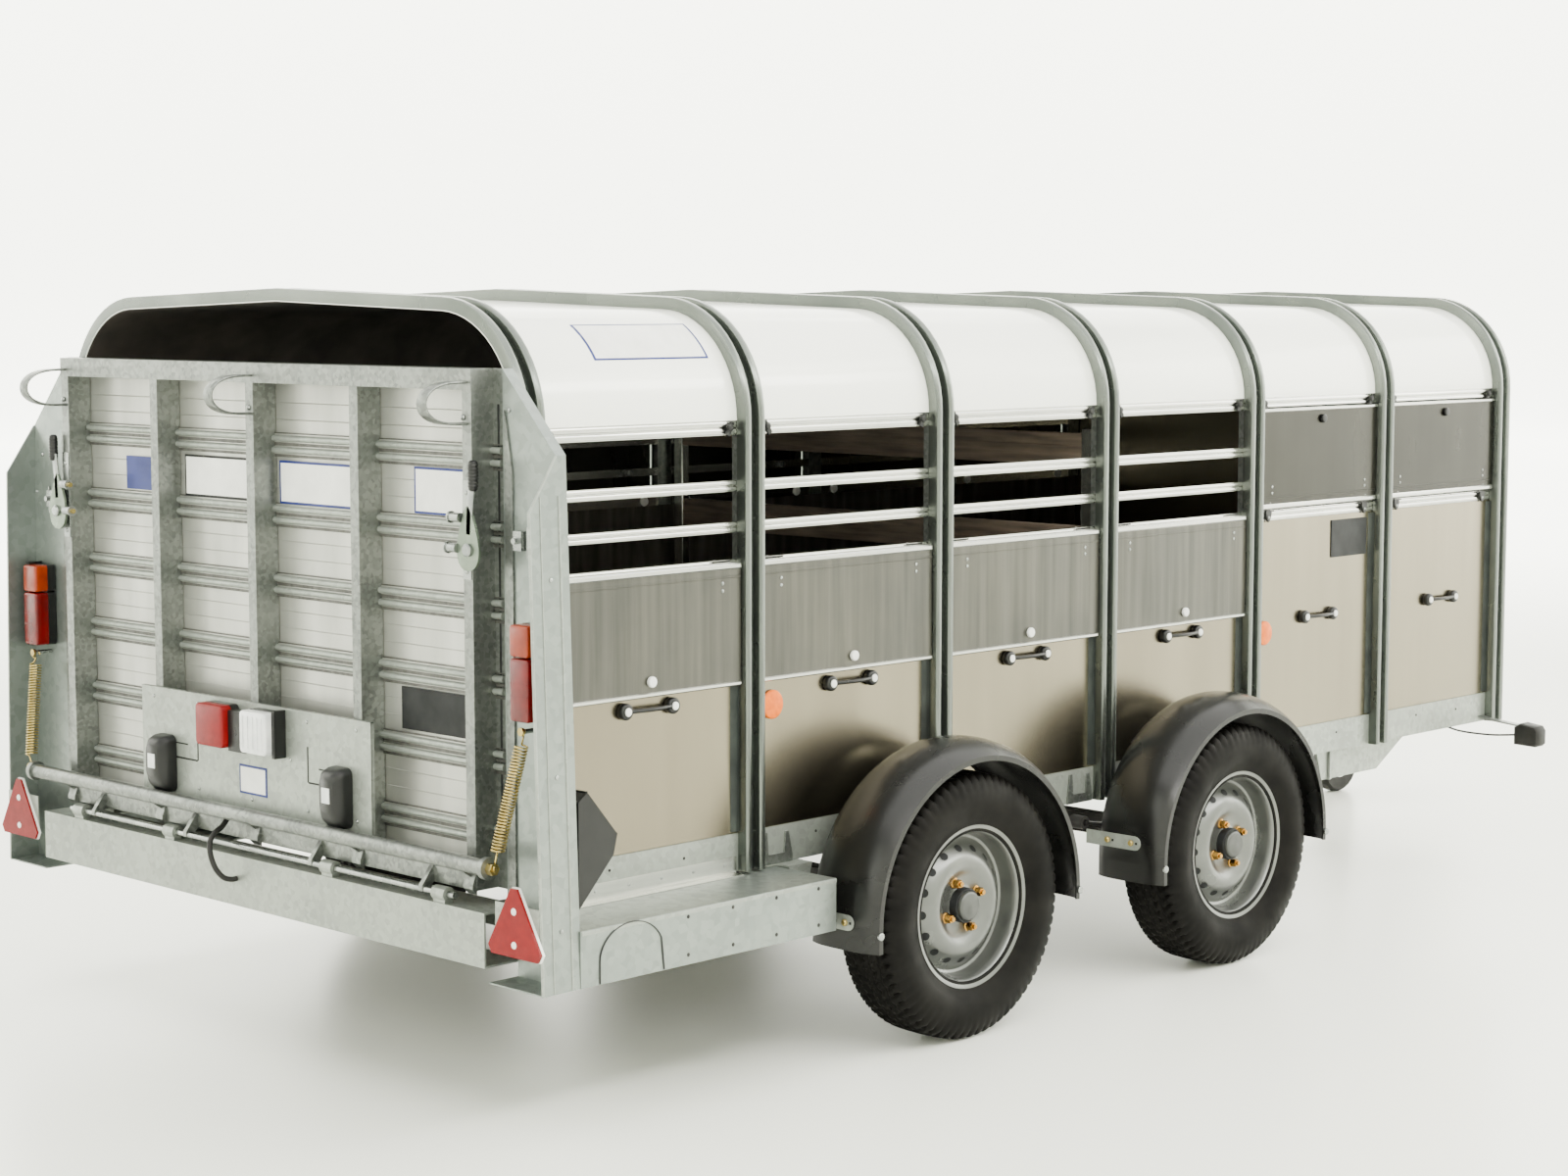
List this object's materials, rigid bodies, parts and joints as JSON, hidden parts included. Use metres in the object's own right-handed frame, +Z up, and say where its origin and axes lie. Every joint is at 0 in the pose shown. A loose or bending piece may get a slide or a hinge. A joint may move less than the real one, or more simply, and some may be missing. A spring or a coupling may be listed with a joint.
{
  "type": "livestock trailer",
  "caption": "Braked twin-axle trailer with a hooped, sheeted body, drop-down side vents, a sprung rear loading ramp and a ball coupling, for moving farm animals by road.",
  "frame": {"origin": "on the ground, at the middle of the overall length and width", "axes": "+X forward towards the coupling, +Y to the trailer's left, +Z up"},
  "size_m": [5.05, 2.1, 1.658],
  "materials": {
    "galvanised_steel": "hot-dip galvanised, mottled satin",
    "aluminium_sheet": "brushed mill finish, scuffed",
    "bright_aluminium": "bright extruded",
    "white_roof_sheet": "smooth translucent white sheet",
    "floor_board": "resin-faced board with a gripping surface",
    "silver_wheel_paint": "silver wheel paint",
    "tyre_rubber": "treaded black rubber",
    "black_plastic": "moulded black plastic",
    "yellow_zinc": "yellow zinc plated",
    "dark_steel": "dark painted and greased steel"
  },
  "bodies": {
    "root": {"chassis_frame": "galvanised_steel", "coupling_head": "dark_steel", "floor_deck": "floor_board", "roof_skin": "white_roof_sheet", "front_panel": "aluminium_sheet", "lamp_cable": "black_plastic", "hoop_0": "galvanised_steel", "hoop_1": "galvanised_steel", "hoop_2": "galvanised_steel", "hoop_3": "galvanised_steel", "hoop_4": "galvanised_steel", "hoop_5": "galvanised_steel", "hoop_6": "galvanised_steel", "side_panel_right": "aluminium_sheet", "vent_rails_right": "bright_aluminium", "rear_corner_right": "galvanised_steel", "suspension_right": "dark_steel", "mudguard_rear_right": "black_plastic", "mudguard_front_right": "black_plastic", "side_panel_left": "aluminium_sheet", "vent_rails_left": "bright_aluminium", "rear_corner_left": "galvanised_steel", "suspension_left": "dark_steel", "mudguard_rear_left": "black_plastic", "mudguard_front_left": "black_plastic"},
    "ramp": {"ramp_frame": "galvanised_steel", "ramp_deck": "aluminium_sheet", "plate_board": "galvanised_steel"},
    "latch_right": {"ramp_latch_right": "yellow_zinc"},
    "spring_right": {"ramp_spring_right": "yellow_zinc"},
    "latch_left": {"ramp_latch_left": "yellow_zinc"},
    "spring_left": {"ramp_spring_left": "yellow_zinc"},
    "axle_rear": {"axle_rear": "dark_steel"},
    "wheel_rear_right": {"rim_rear_right": "silver_wheel_paint", "tyre_rear_right": "tyre_rubber"},
    "wheel_rear_left": {"rim_rear_left": "silver_wheel_paint", "tyre_rear_left": "tyre_rubber"},
    "axle_front": {"axle_front": "dark_steel"},
    "wheel_front_right": {"rim_front_right": "silver_wheel_paint", "tyre_front_right": "tyre_rubber"},
    "wheel_front_left": {"rim_front_left": "silver_wheel_paint", "tyre_front_left": "tyre_rubber"},
    "flap_right_1": {"flap_right_1": "aluminium_sheet"},
    "flap_right_2": {"flap_right_2": "aluminium_sheet"},
    "flap_right_3": {"flap_right_3": "aluminium_sheet"},
    "flap_right_4": {"flap_right_4": "aluminium_sheet"},
    "flap_right_5": {"flap_right_5": "aluminium_sheet"},
    "flap_right_6": {"flap_right_6": "aluminium_sheet"},
    "flap_left_1": {"flap_left_1": "aluminium_sheet"},
    "flap_left_2": {"flap_left_2": "aluminium_sheet"},
    "flap_left_3": {"flap_left_3": "aluminium_sheet"},
    "flap_left_4": {"flap_left_4": "aluminium_sheet"},
    "flap_left_5": {"flap_left_5": "aluminium_sheet"},
    "flap_left_6": {"flap_left_6": "aluminium_sheet"},
    "coupling_handle": {"coupling_handle": "black_plastic"},
    "handbrake_lever": {"handbrake_lever": "black_plastic"},
    "jockey_leg": {"jockey_tube": "galvanised_steel"},
    "jockey_fork": {"jockey_fork": "galvanised_steel"},
    "jockey_wheel": {"jockey_wheel": "tyre_rubber"},
    "gate": {"partition_gate": "aluminium_sheet"}
  },
  "joints": [
    {"name": "ramp_hinge", "type": "hinge", "parent": "root", "child": "ramp", "pos_m": [-2.44, 0, 0.458], "axis": [0, -1, 0], "range_deg": [0, 111], "deforming": ["lamp_cable"]},
    {"name": "latch_right_turn", "type": "hinge", "parent": "ramp", "child": "latch_right", "pos_m": [-2.428, -0.745, 1.148], "axis": [-1, 0, 0], "range_deg": [0, 90]},
    {"name": "spring_right_stretch", "type": "slide", "parent": "root", "child": "spring_right", "axis": [-0.355, 0, -0.9349], "range_m": [0, 0.1396], "deforming": ["ramp_spring_right"]},
    {"name": "latch_left_turn", "type": "hinge", "parent": "ramp", "child": "latch_left", "pos_m": [-2.428, 0.745, 1.148], "axis": [1, 0, 0], "range_deg": [0, 90]},
    {"name": "spring_left_stretch", "type": "slide", "parent": "root", "child": "spring_left", "axis": [-0.355, 0, -0.9349], "range_m": [0, 0.1396], "deforming": ["ramp_spring_left"]},
    {"name": "axle_rear_travel", "type": "slide", "parent": "root", "child": "axle_rear", "axis": [0, 0, 1], "range_m": [-0.02, 0.03], "stiffness_N_per_m": 260000, "springref_m": -0.0139, "deforming": ["suspension_right", "suspension_left"]},
    {"name": "wheel_rear_right_spin", "type": "hinge", "parent": "axle_rear", "child": "wheel_rear_right", "pos_m": [-1.236, -0.953, 0.298], "axis": [0, 1, 0], "continuous": true},
    {"name": "wheel_rear_left_spin", "type": "hinge", "parent": "axle_rear", "child": "wheel_rear_left", "pos_m": [-1.236, 0.953, 0.298], "axis": [0, 1, 0], "continuous": true},
    {"name": "axle_front_travel", "type": "slide", "parent": "root", "child": "axle_front", "axis": [0, 0, 1], "range_m": [-0.02, 0.03], "stiffness_N_per_m": 260000, "springref_m": -0.0132, "deforming": ["suspension_right", "suspension_left"]},
    {"name": "wheel_front_right_spin", "type": "hinge", "parent": "axle_front", "child": "wheel_front_right", "pos_m": [-0.236, -0.953, 0.298], "axis": [0, 1, 0], "continuous": true},
    {"name": "wheel_front_left_spin", "type": "hinge", "parent": "axle_front", "child": "wheel_front_left", "pos_m": [-0.236, 0.953, 0.298], "axis": [0, 1, 0], "continuous": true},
    {"name": "flap_right_1_hinge", "type": "hinge", "parent": "root", "child": "flap_right_1", "pos_m": [-2.011, -0.7955, 1.0865], "axis": [-1, 0, 0], "range_deg": [0, 179]},
    {"name": "flap_right_2_hinge", "type": "hinge", "parent": "root", "child": "flap_right_2", "pos_m": [-1.401, -0.7955, 1.0865], "axis": [-1, 0, 0], "range_deg": [0, 179]},
    {"name": "flap_right_3_hinge", "type": "hinge", "parent": "root", "child": "flap_right_3", "pos_m": [-0.791, -0.7955, 1.0865], "axis": [-1, 0, 0], "range_deg": [0, 179]},
    {"name": "flap_right_4_hinge", "type": "hinge", "parent": "root", "child": "flap_right_4", "pos_m": [-0.181, -0.7955, 1.0865], "axis": [-1, 0, 0], "range_deg": [0, 179]},
    {"name": "flap_right_5_hinge", "type": "hinge", "parent": "root", "child": "flap_right_5", "pos_m": [0.429, -0.7955, 1.0865], "axis": [1, 0, 0], "range_deg": [0, 179]},
    {"name": "flap_right_6_hinge", "type": "hinge", "parent": "root", "child": "flap_right_6", "pos_m": [1.039, -0.7955, 1.0865], "axis": [1, 0, 0], "range_deg": [0, 179]},
    {"name": "flap_left_1_hinge", "type": "hinge", "parent": "root", "child": "flap_left_1", "pos_m": [-2.011, 0.7955, 1.0865], "axis": [-1, 0, 0], "range_deg": [0, 179]},
    {"name": "flap_left_2_hinge", "type": "hinge", "parent": "root", "child": "flap_left_2", "pos_m": [-1.401, 0.7955, 1.0865], "axis": [-1, 0, 0], "range_deg": [0, 179]},
    {"name": "flap_left_3_hinge", "type": "hinge", "parent": "root", "child": "flap_left_3", "pos_m": [-0.791, 0.7955, 1.0865], "axis": [-1, 0, 0], "range_deg": [0, 179]},
    {"name": "flap_left_4_hinge", "type": "hinge", "parent": "root", "child": "flap_left_4", "pos_m": [-0.181, 0.7955, 1.0865], "axis": [-1, 0, 0], "range_deg": [0, 179]},
    {"name": "flap_left_5_hinge", "type": "hinge", "parent": "root", "child": "flap_left_5", "pos_m": [0.429, 0.7955, 1.0865], "axis": [-1, 0, 0], "range_deg": [0, 179]},
    {"name": "flap_left_6_hinge", "type": "hinge", "parent": "root", "child": "flap_left_6", "pos_m": [1.039, 0.7955, 1.0865], "axis": [-1, 0, 0], "range_deg": [0, 179]},
    {"name": "coupling_handle_lift", "type": "hinge", "parent": "root", "child": "coupling_handle", "pos_m": [2.4, 0, 0.516], "axis": [0, 1, 0], "range_deg": [0, 28]},
    {"name": "handbrake_pull", "type": "hinge", "parent": "root", "child": "handbrake_lever", "pos_m": [2.12, -0.075, 0.475], "axis": [0, 1, 0], "range_deg": [0, 60]},
    {"name": "jockey_slide", "type": "slide", "parent": "root", "child": "jockey_leg", "axis": [0, 0, 1], "range_m": [-0.05, 0.07]},
    {"name": "jockey_swivel", "type": "hinge", "parent": "jockey_leg", "child": "jockey_fork", "pos_m": [2.1, 0.205, 0.24], "axis": [0, 0, 1], "continuous": true},
    {"name": "jockey_wheel_spin", "type": "hinge", "parent": "jockey_fork", "child": "jockey_wheel", "pos_m": [2.055, 0.205, 0.1], "axis": [0, 1, 0], "continuous": true},
    {"name": "gate_swing", "type": "hinge", "parent": "root", "child": "gate", "pos_m": [-0.455, 0.735, 0.9], "axis": [0, 0, -1], "range_deg": [0, 90]}
  ],
  "couplings": [
    {"joint": "spring_right_stretch", "follows": "ramp_hinge", "m_per_rad": 0.07181},
    {"joint": "spring_left_stretch", "follows": "ramp_hinge", "m_per_rad": 0.07181}
  ]
}
